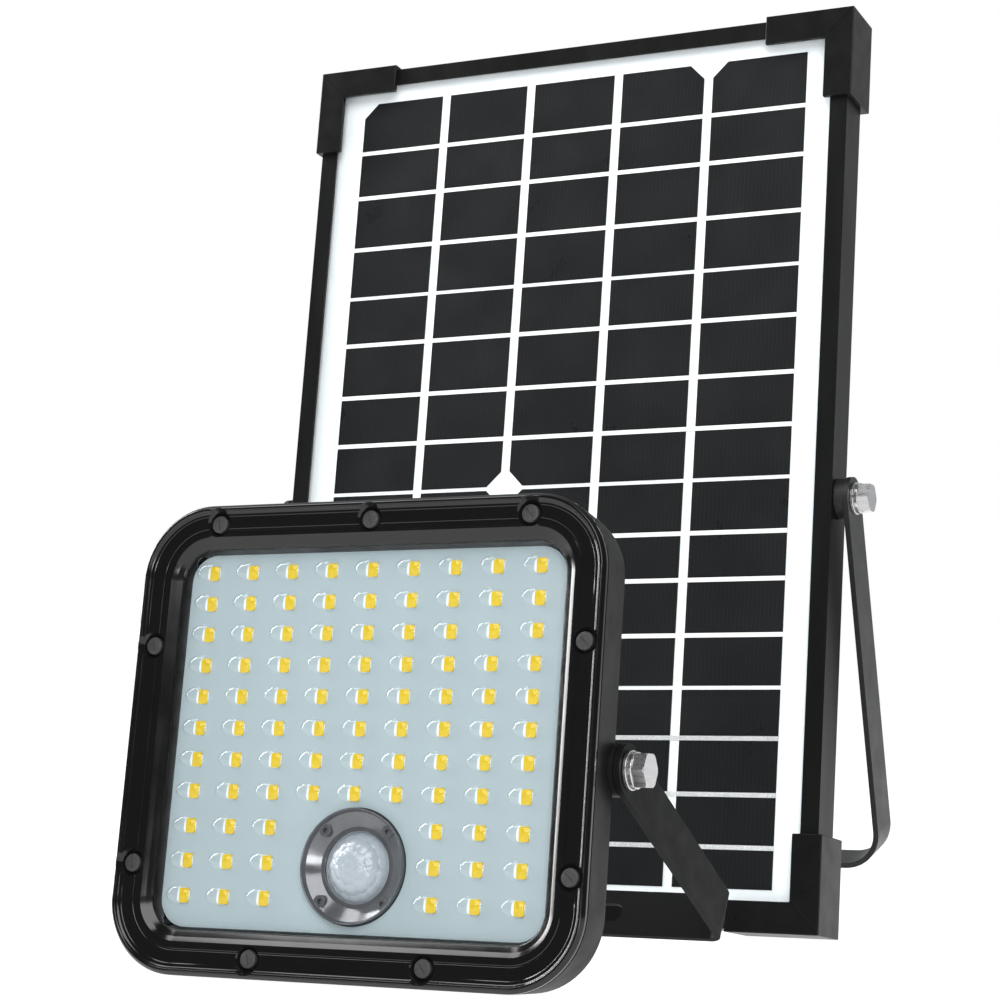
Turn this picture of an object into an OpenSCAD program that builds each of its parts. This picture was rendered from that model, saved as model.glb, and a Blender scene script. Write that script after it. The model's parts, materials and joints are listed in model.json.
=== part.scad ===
// Solar flood light: a sealed LED lamp with a motion sensor, and the solar panel that charges it.
// Each unit tilts in its own U-shaped bracket. Millimetres, +Z up, the fronts face -Y.
// The origin is on the floor, at the centre of the footprint of both units.

/* [Lamp head] */
// Width of the lamp's front frame
lamp_w = 163; // [160:1:168]
// Height of the lamp's front frame
lamp_h = 148; // [146:1:152]
// Radius of the front frame's corners
lamp_corner_r = 24; // [23:0.5:25]
// Depth of the wide rim behind the front
rim_depth = 17.5; // [17:0.5:18]
// Depth of the whole case, without its ribs
case_depth = 34.4; // [34.4:0.1:35]
// Lean of the lamp, top towards the back
lamp_tilt = 9; // [5:1:12]
// Depth of the lamp's pivot behind its front
lamp_pivot_depth = 19.9; // [19.5:0.1:21]
// Drop of the lamp's pivot below its middle
lamp_pivot_drop = 6.7; // [5:0.1:9]
// Lamp's middle to the right of the panel's middle
lamp_shift = 30; // [20:1:34]

/* [Light board] */
// Columns of light chips
led_cols = 9; // [7:2:9]
// Rows of chips above the motion sensor
led_rows_upper = 8; // [6:1:8]
// Rows of chips beside the motion sensor
led_rows_lower = 3; // [2:1:3]
// Chips left out of each lower row, for the sensor
led_cols_gap = 3; // [3:2:5]
// Spacing of the columns
led_pitch_x = 14.5; // [13:0.1:14.7]
// Spacing of the upper rows
led_pitch_upper = 9.95; // [9.5:0.05:9.95]
// Spacing of the lower rows
led_pitch_lower = 10.85; // [10:0.05:10.85]
// Height of the top row above the lamp's middle
led_top = 52.9; // [50:0.1:53]
// Width of a light chip
led_w = 3.4; // [2.8:0.1:3.6]
// Height of a light chip
led_h = 4.6; // [3.5:0.1:5]
// Radius of the lens bump over each chip
dome_r = 4.2; // [3:0.1:4.4]
// Height of the lens bump
dome_rise = 1.5; // [1:0.1:1.8]

/* [Motion sensor] */
// Shift of the sensor to the right of the lamp's middle
pir_shift = 1.5; // [0:0.1:1.6]
// Drop of the sensor below the lamp's middle
pir_drop = 38.7; // [38:0.1:40]
// Outer radius of the sensor's cup at its mouth
cup_r = 17.6; // [17:0.1:17.6]
// Radius of the sensor's white dome
pir_dome_r = 10.8; // [10:0.1:10.8]
// Height of the sensor's white dome
pir_dome_rise = 7; // [5:0.5:7]

/* [Solar panel] */
// Width of the panel over its corner caps
panel_w = 234; // [230:1:240]
// Height of the panel over its corner caps
panel_h = 350; // [345:1:355]
// Depth of the corner caps
cap_depth = 22.5; // [22:0.5:24]
// Length of each corner cap along the frame
cap_reach = 35.5; // [30:0.5:40]
// Width of a corner cap's front face
cap_face = 11.3; // [10:0.1:12]
// Depth of the frame rails
rail_depth = 16; // [16:0.5:17]
// Width of a rail's front lip
rail_lip = 6.9; // [5.5:0.1:8]
// Lean of the panel, top towards the back
panel_tilt = 8.7; // [5:0.1:12]
// Height of the panel's pivot above its lower edge
panel_pivot_height = 159.5; // [150:0.5:175]
// Depth of the panel's pivot behind its front
panel_pivot_depth = 10.7; // [10.7:0.1:11.5]

/* [Solar cells] */
// Columns of cells
cell_cols = 5; // [4:1:5]
// Spacing of the columns of cells
cell_pitch_x = 38.7; // [37:0.1:38.7]
// Gap between two columns
cell_gap = 3.7; // [2:0.1:4]
// Gap between two rows
row_gap = 1.5; // [0.5:0.1:2]
// Extra width of the left column, at its outer side
left_cell_extra = 1.3; // [0:0.1:1.3]
// Extra width of the right column, at its outer side
right_cell_extra = 3.6; // [0:0.1:3.6]
// Shift of the columns of cells to the left
cell_shift = 1.4; // [0:0.1:1.4]
// Corner cut of the cells from a wafer's rounded corner
cell_chamfer = 6; // [4:0.5:8]
// Width of a ribbon
ribbon_w = 1.7; // [1:0.1:2]

/* [Brackets] */
// Width of the steel strip
strip_w = 16; // [14:0.5:18]
// Thickness of the steel strip
strip_t = 2; // [1.5:0.1:2.5]
// Pivot to the outer face of the lamp bracket's crossbar
lamp_arm = 94; // [90:1:100]
// Angle of the lamp bracket's arms from straight down, towards the back
lamp_arm_angle = 58; // [50:1:65]
// Outer radius of the lamp bracket's bends
lamp_bend_r = 4.5; // [3.5:0.5:8]
// Pivot to the outer face of the panel bracket's crossbar
panel_arm = 139; // [130:1:145]
// Angle of the panel bracket's arms from straight down, towards the back
panel_arm_angle = 14.5; // [12:0.5:20]
// Outer radius of the panel bracket's bends
panel_bend_r = 14; // [8:1:16]
// Length of each mounting slot
slot_len = 20; // [14:1:24]
// Width of each mounting slot
slot_w = 6.5; // [5:0.5:7]
// Middle of each slot from the bracket's middle
slot_offset = 38; // [30:1:45]
// Radius of the mounting hole in the middle of each crossbar
mount_hole_r = 4.25; // [3:0.25:4.5]

/* [Fasteners] */
// Radius of the pivot bolts
bolt_r = 3; // [2.5:0.5:3]
// Width of the pivot bolts' heads across flats
bolt_flats = 10; // [9:0.5:11]
// Height of the pivot bolts' heads
bolt_head = 4; // [3.5:0.5:4.5]
// Radius of the front screws' heads
screw_head_r = 2.8; // [2.4:0.1:3]

/* [Hidden] */
$fn = 64;

// Colours
black_gloss = [0.07, 0.07, 0.08];
black_satin = [0.17, 0.17, 0.18];
grey_powder = [0.25, 0.25, 0.26];
steel = [0.78, 0.78, 0.8];
alloy = [0.72, 0.73, 0.75];
brass = [0.8, 0.65, 0.3];
board_white = [0.74, 0.8, 0.82];
board_green = [0.1, 0.35, 0.2];
chip_yellow = [0.95, 0.78, 0.15];
rubber = [0.1, 0.1, 0.1];

// Small clearances
slip = 0.05; // a running fit, each side
play = 0.1; // a loose fit, each side

// Lamp: rounded frames are set out from four corner centres. "rho" is the distance
// outside them, so a plate's corners have the radius rho.
corner_x = lamp_w / 2 - lamp_corner_r;
corner_y = lamp_h / 2 - lamp_corner_r;
rho_rim = lamp_corner_r;
rho_lip = 22.6;
rho_case = 16.5;
rho_skirt = 21.8;
rim_draft = 1.1;
rho_cavity = 13.5;
rho_floor = 12.2;
rho_plate = 16;
rho_window = 9.9;
rho_board = 9;
rho_spreader = 13.2;
rho_screw = 18;
rho_post = 9.2;
// Lamp: heights from the front face, negative going back
z_lip = -3;
z_plate_top = -4.2;
z_plate_back = -5.8;
z_gasket_back = -6.6;
z_chip_top = -6;
z_board_top = -6.7;
z_spreader_top = -8.3;
z_spreader_back = -10.3;
z_floor = -case_depth + 2.4;
z_case_edge = -28;
z_pocket = -3;
z_pilot_end = -13;
screw_head_h = 1.4;
screw_len = 8;
pilot_r = 1.5;
screw_r = 1.4;
rib_t = 2.4;
rib_rise = 3;
rib_pitch = 14;
rib_count = 7;
// Lamp: motion sensor
z_cup_top = -4.6;
z_cup_seat = -8.6;
z_pir_board = -17.2;
pir_board_t = 1.2;
pir_board_r = 13.6;
// Lamp: inner parts
cell_r = 9.1;
battery_len = 65;
battery_x = 34;
battery_rows = [21.5, 40.5];
battery_z = z_floor + cell_r + 1.3;
control_x = 2;
control_y = -37;
control_w = 52;
control_h = 46;
control_z = z_floor + 3;
control_t = 1.6;
// Lamp: button and cable gland on the back
button_x = -42;
button_y = -45;
button_r = 4.4;
button_out = 4;
collar = 0.6;
gland_x = 50;
gland_y = -45;
lead_bore_r = 2.6;
// Lamp: side bosses
boss_r = 8;
boss_end = lamp_w / 2 + 0.8;
insert_r = 4.2;
insert_len = 10;
// Fastener stacks, outward from the bracket arm's outer face
washer_r = 6;
washer_t = 1.2;
spring_washer_r = 5.6;
spring_washer_t = 1.5;
ear_hole_r = bolt_r + slip;
lamp_span = 2 * (boss_end + slip + 0.15);
// Panel
cap_side = 2.1;
cap_end = 1.2;
rail_wall = 1.5;
rail_x = panel_w / 2 - cap_side;
face_drop = 2.2;
rail_z = -face_drop;
rail_back = rail_z - rail_depth;
z_glass_top = rail_z - 1;
z_glass_back = z_glass_top - 2.2;
z_ribbon_back = z_glass_back - 0.1;
z_cell_back = z_ribbon_back - 0.2;
z_sheet_back = z_cell_back - 0.4;
laminate_inset = 2;
spacer_t = 3.8;
panel_span = 2 * (rail_x + spacer_t + slip);
rivet_r = 3.7;
rivet_len = 11;
// Cells and ribbons, heights above the panel's lower edge, from the top
row_edges = [336.5, 250.5, 167.7, 88.7, 14.8];
ribbon_heights = [314, 294.2, 271.7, 230.3, 208.1, 187.8, 147.2, 129.3, 108.3, 70, 49.4, 30.4];
// Cells with a cut corner: column, row from the top, side (-1 left, 1 right), end (1 top, -1 bottom)
cut_corners = [
    [0, 0, -1, 1], [3, 0, 1, 1], [4, 0, -1, 1],
    [1, 1, 1, -1], [2, 1, -1, -1], [1, 2, 1, 1], [2, 2, -1, 1],
    [0, 3, -1, -1], [1, 3, 1, -1], [2, 3, -1, -1]
];
box_w = 66;
box_h = 52;
box_t = 13;
box_y = 268;
lid_t = 2.5;
// Places of the two pivots
pivot_gap = 194.8;
lamp_reach_front = lamp_pivot_depth * cos(lamp_tilt)
    + (lamp_h / 2 - 0.8 - lamp_pivot_drop) * sin(lamp_tilt);
panel_reach_back = panel_arm * sin(panel_arm_angle) + strip_w / 2 * cos(panel_arm_angle);
footprint = lamp_reach_front + pivot_gap + panel_reach_back;
lamp_pivot_y = lamp_reach_front - footprint / 2;
panel_pivot_y = lamp_pivot_y + pivot_gap;
lamp_pivot_z = (rim_depth - lamp_pivot_depth) * sin(lamp_tilt)
    + (lamp_h / 2 - rim_draft - lamp_pivot_drop) * cos(lamp_tilt);
panel_pivot_z = (cap_depth - panel_pivot_depth) * sin(panel_tilt)
    + panel_pivot_height * cos(panel_tilt);

// ---- Frames of reference ----

// Lamp frame: x right, y up, z out of the front, from the middle of the front
module in_lamp() {
    translate([lamp_shift, lamp_pivot_y, lamp_pivot_z])
        rotate([90 - lamp_tilt, 0, 0])
            translate([0, lamp_pivot_drop, lamp_pivot_depth]) children();
}

// Panel frame: x right, y up, z out of the front, from the middle of the lower edge
module in_panel() {
    translate([0, panel_pivot_y, panel_pivot_z])
        rotate([90 - panel_tilt, 0, 0])
            translate([0, -panel_pivot_height, panel_pivot_depth]) children();
}

// A piece and its mirror image on the left
module both_sides() {
    for (side = [0, 1]) mirror([side, 0, 0]) children();
}

// A piece turned to lie along +x from the pivot of the lamp or of the panel
module on_lamp_pivot(x) {
    both_sides() translate([x, -lamp_pivot_drop, -lamp_pivot_depth]) rotate([0, 90, 0]) children();
}

module on_panel_pivot(x) {
    both_sides() translate([x, panel_pivot_height, -panel_pivot_depth]) rotate([0, 90, 0]) children();
}

// ---- Shapes used more than once ----

module rounded(w, h, r) {
    square([w - 2 * r, h], center = true);
    square([w, h - 2 * r], center = true);
    for (x = [-1, 1], y = [-1, 1]) translate([x * (w / 2 - r), y * (h / 2 - r)]) circle(r);
}

// A plate whose edge lies rho outside the lamp's corner centres
module lamp_plate(rho, z_low, z_high) {
    translate([0, 0, z_low]) linear_extrude(z_high - z_low)
        rounded(2 * (corner_x + rho), 2 * (corner_y + rho), rho);
}

// A section of [rho, z] points swept around the lamp's outline
module lamp_ring(section) {
    for (turn = [0, 180]) rotate([0, 0, turn]) {
        translate([corner_x, 0, 0]) rotate([90, 0, 0])
            linear_extrude(2 * corner_y, center = true) polygon(section);
        translate([0, corner_y, 0]) rotate([90, 0, 90])
            linear_extrude(2 * corner_x, center = true) polygon(section);
        translate([corner_x, corner_y, 0]) rotate_extrude(angle = 90) polygon(section);
        translate([-corner_x, corner_y, 0]) rotate([0, 0, 90]) rotate_extrude(angle = 90) polygon(section);
    }
}

module tube(r_out, r_in, z_low, z_high) {
    translate([0, 0, z_low]) difference() {
        cylinder(r = r_out, h = z_high - z_low);
        translate([0, 0, -1]) cylinder(r = r_in, h = z_high - z_low + 2);
    }
}

module hexagon(flats, h) {
    cylinder(d = flats / cos(30), h = h, $fn = 6);
}

// Nine screw places around the lamp's front
screw_places = [
    for (x = [-55, 0, 55]) [x, corner_y + rho_screw],
    for (x = [-30, 30]) [x, -corner_y - rho_screw],
    for (side = [-1, 1], y = [28.9, -40.1]) [side * (corner_x + rho_screw), y]
];

// Chip places, row by row
led_rows = led_rows_upper + led_rows_lower;
function led_y(row) = led_top - min(row, led_rows_upper - 1) * led_pitch_upper
    - max(row - led_rows_upper + 1, 0) * led_pitch_lower;
function led_lit(col, row) = row < led_rows_upper || abs(col - (led_cols - 1) / 2) > led_cols_gap / 2;
led_places = [
    for (row = [0:led_rows - 1], col = [0:led_cols - 1]) if (led_lit(col, row))
        [(col - (led_cols - 1) / 2) * led_pitch_x, led_y(row)]
];

post_x = corner_x + rho_post * cos(45);
post_y = corner_y + rho_post * sin(45);
post_places = [for (x = [-post_x, post_x], y = [-post_y, post_y]) [x, y]];

// ---- Brackets ----

// A strip bent into a U: pivot axis along x through the origin, arms down to -arm
module u_bracket(span, arm, bend_r) {
    outer_w = span + 2 * strip_t;
    tall = 2 * arm;
    difference() {
        intersection() {
            rotate([90, 0, 0]) linear_extrude(strip_w, center = true) difference() {
                rounded(outer_w, tall, bend_r);
                rounded(span, tall - 2 * strip_t, bend_r - strip_t);
            }
            rotate([90, 0, 90]) linear_extrude(outer_w + 2, center = true) {
                circle(strip_w / 2);
                translate([-strip_w / 2, -arm]) square([strip_w, arm]);
            }
        }
        rotate([0, 90, 0]) cylinder(r = ear_hole_r, h = outer_w + 2, center = true);
        translate([0, 0, -arm]) {
            cylinder(r = mount_hole_r, h = 3 * strip_t, center = true);
            for (side = [-1, 1]) translate([side * slot_offset, 0, -strip_t]) linear_extrude(3 * strip_t) {
                square([slot_len - slot_w, slot_w], center = true);
                for (end = [-1, 1]) translate([end * (slot_len - slot_w) / 2, 0]) circle(slot_w / 2);
            }
        }
    }
}

module lamp_bracket() {
    color(grey_powder) translate([lamp_shift, lamp_pivot_y, lamp_pivot_z]) rotate([lamp_arm_angle, 0, 0])
        u_bracket(lamp_span, lamp_arm, lamp_bend_r);
}

module panel_bracket() {
    color(grey_powder) translate([0, panel_pivot_y, panel_pivot_z]) rotate([panel_arm_angle, 0, 0])
        u_bracket(panel_span, panel_arm, panel_bend_r);
}

// ---- Lamp case ----

// A solid inside the lamp's outline, from a section of [rho, z] points that starts and ends at rho 0
module lamp_solid(section, z_low, z_high) {
    lamp_ring(section);
    translate([-corner_x, -corner_y, z_low]) cube([2 * corner_x, 2 * corner_y, z_high - z_low]);
}

// Closed back of the case, with a sloped and softened edge
module case_back() {
    lamp_solid([[0, z_case_edge], [rho_case, z_case_edge], [rho_case - 2.4, 1 - case_depth],
        [rho_case - 3.2, 0.2 - case_depth], [rho_case - 4, -case_depth], [0, -case_depth]],
        -case_depth, z_case_edge);
}

// Wide rim with a drafted skirt, hollow behind around the case
module rim() {
    difference() {
        lamp_solid([[0, z_lip], [rho_rim, z_lip], [rho_rim - rim_draft, -rim_depth], [0, -rim_depth]],
            -rim_depth, z_lip);
        lamp_ring([[rho_case, -rim_depth - 1], [rho_skirt - 0.8, -rim_depth - 1], [rho_skirt, -7],
            [rho_case, -7]]);
    }
    for (p = screw_places) translate([p[0], p[1], z_pilot_end - 1]) cylinder(r = 3.6, h = 7.5);
}

module case_ribs() {
    for (i = [0:rib_count - 1])
        translate([(i - (rib_count - 1) / 2) * rib_pitch - rib_t / 2, -22, -case_depth - rib_rise])
            cube([rib_t, 74, rib_rise + 1]);
}

module side_bosses() {
    neck = boss_end - corner_x - rho_cavity - 1;
    on_lamp_pivot(boss_end - neck) cylinder(r = boss_r, h = neck);
}

module lamp_housing() {
    color(black_satin) in_lamp() difference() {
        union() {
            rim();
            lamp_plate(rho_case, z_case_edge, -rim_depth);
            case_back();
            case_ribs();
            side_bosses();
        }
        difference() {
            union() {
                lamp_plate(rho_cavity, z_case_edge, 1);
                lamp_plate(rho_floor, z_floor, 1);
            }
            for (p = post_places) translate([p[0], p[1], z_floor - 1])
                cylinder(r = 3.2, h = z_spreader_back - z_floor + 1);
            control_posts();
        }
        lamp_plate(rho_plate + play, z_gasket_back, 1);
        lamp_plate(rho_lip + play, z_plate_top, 1);
        for (p = screw_places) translate([p[0], p[1], z_pilot_end]) cylinder(r = pilot_r, h = 13);
        for (p = post_places) translate([p[0], p[1], z_spreader_back - 10]) cylinder(r = 1.25, h = 11);
        for (p = control_holes) translate([p[0], p[1], z_floor - 1]) cylinder(r = 1, h = 8);
        on_lamp_pivot(boss_end - insert_len) cylinder(r = insert_r, h = insert_len + 1);
        translate([button_x, button_y, -case_depth - 1]) cylinder(r = 6 + play, h = 5);
        translate([gland_x, gland_y, -case_depth - 1]) cylinder(r = 6 + play, h = 5);
    }
}

// Section of the front frame, from the outer edge to the window
bezel_section = [
    [rho_lip, z_plate_top], [rho_lip, z_lip], [rho_rim - 0.5, z_lip], [rho_rim - 0.5, z_lip + 0.5],
    [rho_rim, z_lip + 0.5], [rho_rim, -0.8], [rho_rim - 0.8, 0],
    [rho_rim - 2.1, 0], [rho_rim - 2.8, -0.9], [14, -1.9], [13.2, -1.5], [12.4, -1.7],
    [rho_window, z_plate_top]
];

module front_bezel() {
    color(black_gloss) in_lamp() difference() {
        lamp_ring(bezel_section);
        for (p = screw_places) translate([p[0], p[1], z_pocket]) {
            cylinder(r1 = screw_head_r + 0.5, r2 = screw_head_r + 3.3, h = 4);
            translate([0, 0, -2]) cylinder(r = pilot_r, h = 4);
        }
    }
}

module bezel_screws() {
    color([0.35, 0.35, 0.36]) in_lamp() for (p = screw_places) translate([p[0], p[1], z_pocket]) {
        difference() {
            cylinder(r = screw_head_r, h = screw_head_h);
            for (turn = [0, 90]) rotate([0, 0, turn])
                translate([-1.6, -0.3, screw_head_h - 0.7]) cube([3.2, 0.6, 1]);
        }
        translate([0, 0, 0.2 - screw_len]) cylinder(r = screw_r, h = screw_len);
    }
}

module lens_gasket() {
    color(rubber) in_lamp() lamp_ring([[rho_cavity + play, z_gasket_back], [rho_plate - play, z_gasket_back],
        [rho_plate - play, z_plate_back], [rho_cavity + play, z_plate_back]]);
}

// Clear front plate with a low bump over each chip
module lens_plate() {
    ball_r = (dome_r * dome_r + dome_rise * dome_rise) / (2 * dome_rise);
    color([0.85, 0.92, 0.95, 0.4]) in_lamp() difference() {
        union() {
            lamp_plate(rho_plate, z_plate_back, z_plate_top);
            for (p = led_places) translate([p[0], p[1], z_plate_top - 0.1]) intersection() {
                translate([0, 0, 0.1 + dome_rise - ball_r]) sphere(ball_r);
                cylinder(r = dome_r + 1, h = dome_rise + 1);
            }
        }
        translate([pir_shift, -pir_drop, z_plate_back - 1]) cylinder(r = cup_r + 0.6, h = 6);
    }
}

module led_board() {
    color(board_white) in_lamp() difference() {
        lamp_plate(rho_board, z_spreader_top, z_board_top);
        translate([pir_shift, -pir_drop, z_spreader_top - 1]) cylinder(r = cup_r + 0.3, h = 4);
    }
}

module led_chips() {
    color(chip_yellow) in_lamp() for (p = led_places)
        translate([p[0] - led_w / 2, p[1] - led_h / 2, z_board_top])
            cube([led_w, led_h, z_chip_top - z_board_top]);
}

module heat_spreader() {
    color(alloy) in_lamp() difference() {
        lamp_plate(rho_spreader, z_spreader_back, z_spreader_top);
        translate([pir_shift, -pir_drop, z_spreader_back - 1]) cylinder(r = cup_r + 0.3, h = 4);
        for (p = post_places) translate([p[0], p[1], z_spreader_top]) {
            translate([0, 0, -3]) cylinder(r = 1.3, h = 4);
            translate([0, 0, -1.2]) cylinder(r1 = 1.3, r2 = 2.6, h = 1.3);
        }
    }
}

module spreader_screws() {
    color(steel) in_lamp() for (p = post_places) translate([p[0], p[1], z_spreader_top]) {
        translate([0, 0, -1.2]) cylinder(r1 = 1.2, r2 = 2.4, h = 1.2);
        translate([0, 0, -9]) cylinder(r = 1.2, h = 8);
    }
}

// ---- Motion sensor ----

module in_pir() {
    in_lamp() translate([pir_shift, -pir_drop, 0]) children();
}

// Open cup that the dome sits in, with a flange behind the heat spreader
module pir_cup() {
    color([0.45, 0.46, 0.48]) in_pir() difference() {
        union() {
            rotate_extrude() polygon([
                [cup_r, z_cup_top], [cup_r - 0.4, z_cup_top], [cup_r - 1, z_cup_top - 1.6],
                [12.4, z_cup_seat], [11.1, z_cup_seat], [11.1, z_cup_seat - 1],
                [12.6, z_cup_seat - 1], [12.6, z_pir_board], [pir_board_r, z_pir_board],
                [pir_board_r, z_spreader_back - 1.2],
                [20, z_spreader_back - 1.2], [20, z_spreader_back], [cup_r, z_spreader_back]]);
            for (turn = [45:90:315]) rotate([0, 0, turn]) translate([15.2, 0, z_spreader_back])
                cylinder(r = 1.9, h = z_cup_top - 1.4 - z_spreader_back);
        }
        for (turn = [45:90:315]) rotate([0, 0, turn]) translate([15.2, 0, z_cup_top - 3.2])
            cylinder(r = 0.8, h = 4);
    }
}

module pir_dome() {
    seat = z_cup_seat - 1;
    ball_r = (pir_dome_r * pir_dome_r + pir_dome_rise * pir_dome_rise) / (2 * pir_dome_rise);
    color([0.93, 0.93, 0.96]) in_pir() {
        intersection() {
            translate([0, 0, seat + pir_dome_rise - ball_r]) difference() {
                sphere(ball_r);
                sphere(ball_r - 0.8);
            }
            translate([0, 0, seat]) cylinder(r = pir_dome_r + 1, h = pir_dome_rise + 1);
        }
        tube(12.4, pir_dome_r - 1.6, seat - 0.8, seat);
    }
}

module pir_sensor() {
    color(steel) in_pir() translate([0, 0, z_pir_board]) {
        cylinder(r = 4.6, h = 0.5);
        difference() {
            cylinder(r = 4.1, h = 2.9);
            translate([-1.5, -2, 2.7]) cube([3, 4, 1]);
        }
    }
}

module pir_board() {
    color(board_green) in_pir() translate([0, 0, z_pir_board - pir_board_t])
        cylinder(r = pir_board_r, h = pir_board_t);
}

// ---- Parts inside the lamp ----

battery_places = [for (side = [-1, 1], y = battery_rows) [side * battery_x, y]];

module battery_rods(r, len) {
    for (p = battery_places) translate([p[0], p[1], battery_z]) rotate([0, 90, 0])
        cylinder(r = r, h = len, center = true);
}

module battery_cells() {
    color([0.16, 0.4, 0.65]) in_lamp() {
        battery_rods(cell_r, battery_len);
        for (p = battery_places) translate([p[0] + battery_len / 2, p[1], battery_z]) rotate([0, 90, 0])
            cylinder(r = 2.8, h = 0.5);
    }
}

module battery_tray() {
    inner_y = battery_rows[0] - cell_r - 2;
    tray_h = battery_rows[1] - battery_rows[0] + 2 * cell_r + 4;
    color(black_satin) in_lamp() difference() {
        translate([-battery_x - 35.5, inner_y, z_floor]) cube([2 * battery_x + 71, tray_h, 9]);
        battery_rods(cell_r + play, battery_len + 1.2);
    }
}

hole_dx = control_w / 2 - 4;
hole_dy = control_h / 2 - 4;
control_holes = [for (x = [-hole_dx, hole_dx], y = [-hole_dy, hole_dy]) [control_x + x, control_y + y]];

module control_posts() {
    for (p = control_holes) translate([p[0], p[1], z_floor - 1])
        cylinder(r = 2.6, h = control_z - z_floor + 1);
}

module control_board() {
    color(board_green) in_lamp() translate([control_x, control_y, control_z]) {
        difference() {
            translate([-control_w / 2, -control_h / 2, 0]) cube([control_w, control_h, control_t]);
            for (x = [-hole_dx, hole_dx], y = [-hole_dy, hole_dy]) translate([x, y, -1])
                cylinder(r = 1.3, h = 4);
        }
        translate([0, 0, control_t]) {
            translate([-14, 8, 0]) cylinder(r = 5.5, h = 7);
            translate([2, 12, 0]) cylinder(r = 3.2, h = 7);
            translate([12, 12, 0]) cylinder(r = 3.2, h = 7);
            translate([-18, -10, 0]) cube([9, 7, 5]);
            translate([8, -12, 0]) cube([9, 7, 5]);
            translate([-5, -8, 0]) cube([8, 8, 1.2]);
        }
    }
}

module control_board_screws() {
    color(steel) in_lamp() for (p = control_holes) translate([p[0], p[1], control_z + control_t]) {
        cylinder(r = 1.9, h = 1.2);
        translate([0, 0, -4.4]) cylinder(r = 0.95, h = 4.6);
    }
}

// ---- Power button ----

module at_button() {
    in_lamp() translate([button_x, button_y, -case_depth]) children();
}

// Flanged sleeve, wider inside to hold the button's collar
module button_body() {
    wide = button_r + collar + play;
    color(black_gloss) at_button() rotate_extrude() polygon([
        [button_r + slip, -1.8], [8.5, -1.8], [8.5, 0], [6, 0], [6, 12], [wide, 12], [wide, 1],
        [button_r + slip, 1]]);
}

module button_nut() {
    color(alloy) at_button() difference() {
        translate([0, 0, 2.4]) hexagon(15, 2.4);
        cylinder(r = 6 + slip, h = 8);
    }
}

module button_switch() {
    color([0.3, 0.3, 0.32]) at_button() translate([0, 0, 4]) cylinder(r = button_r + collar + slip, h = 8);
}

module power_button() {
    color([0.75, 0.1, 0.08]) at_button() rotate_extrude() polygon([
        [0, 2], [button_r + collar, 2], [button_r + collar, 1 + slip], [button_r, 1 + slip],
        [button_r, 0.8 - button_out], [button_r - 0.8, -button_out], [0, -button_out]]);
}

// ---- Gland for the panel's lead ----

module at_gland() {
    in_lamp() translate([gland_x, gland_y, -case_depth]) rotate([180, 0, 0]) children();
}

module lead_gland() {
    color(black_satin) at_gland() difference() {
        union() {
            hexagon(15, 5);
            translate([0, 0, -8]) cylinder(r = 6, h = 9);
            cylinder(r = 5.5, h = 10);
        }
        translate([0, 0, -9]) cylinder(r = 3.4, h = 20);
    }
}

module lead_gland_nut() {
    color(black_satin) at_gland() difference() {
        intersection() {
            translate([0, 0, 5.1]) hexagon(14, 9.9);
            rotate_extrude() polygon([[0, 5.1], [8.2, 5.1], [8.2, 12], [5.6, 15], [0, 15]]);
        }
        translate([0, 0, 5]) cylinder(r = 5.5 + slip, h = 5.3);
        cylinder(r = lead_bore_r + 0.3, h = 20);
    }
}

module lead_gland_seal() {
    color(rubber) at_gland() tube(3.4, lead_bore_r, 2, 10);
}

module lead_gland_locknut() {
    color(alloy) at_gland() difference() {
        translate([0, 0, -4.9]) hexagon(15, 2.5);
        translate([0, 0, -6]) cylinder(r = 6 + slip, h = 6);
    }
}

// ---- Pivot fasteners, each drawn along +z from the bracket arm's outer face ----

module pivot_bolt(shank) {
    head_z = slip + washer_t + spring_washer_t;
    corner_d = bolt_flats / cos(30);
    translate([0, 0, head_z]) intersection() {
        rotate([0, 0, 6]) hexagon(bolt_flats, bolt_head);
        cylinder(d1 = corner_d + 2 * bolt_head, d2 = corner_d - 0.9, h = bolt_head);
    }
    translate([0, 0, head_z - shank]) cylinder(r = bolt_r, h = shank + 1);
}

// Split ring whose cut opens to the lower back
module spring_washer() {
    translate([0, 0, slip + washer_t]) difference() {
        tube(spring_washer_r, bolt_r + slip, 0, spring_washer_t);
        rotate([0, 0, 45]) translate([bolt_r - 1, -0.5, -1]) cube([spring_washer_r, 1, 4]);
    }
}

module flat_washer() {
    tube(washer_r, bolt_r + slip, slip, slip + washer_t);
}

lamp_ear = lamp_span / 2 + strip_t;
panel_ear = panel_span / 2 + strip_t;

module lamp_pivot_inserts() {
    color(brass) in_lamp() on_lamp_pivot(boss_end - insert_len) tube(insert_r, bolt_r + slip, 0, insert_len);
}

module lamp_pivot_bolts() {
    color(steel) in_lamp() on_lamp_pivot(lamp_ear) pivot_bolt(14);
}

module lamp_spring_washers() {
    color(steel) in_lamp() on_lamp_pivot(lamp_ear) spring_washer();
}

module lamp_flat_washers() {
    color(steel) in_lamp() on_lamp_pivot(lamp_ear) flat_washer();
}

module panel_rivet_nuts() {
    color(alloy) in_panel() on_panel_pivot(rail_x - rail_wall - rivet_len)
        tube(rivet_r, bolt_r + slip, 0, rivet_len);
}

module panel_pivot_spacers() {
    color(rubber) in_panel() on_panel_pivot(rail_x) tube(strip_w / 2 - 0.5, bolt_r + play, 0, spacer_t);
}

module panel_pivot_bolts() {
    color(steel) in_panel() on_panel_pivot(panel_ear) pivot_bolt(18);
}

module panel_spring_washers() {
    color(steel) in_panel() on_panel_pivot(panel_ear) spring_washer();
}

module panel_flat_washers() {
    color(steel) in_panel() on_panel_pivot(panel_ear) flat_washer();
}

// ---- Panel frame ----

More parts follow.
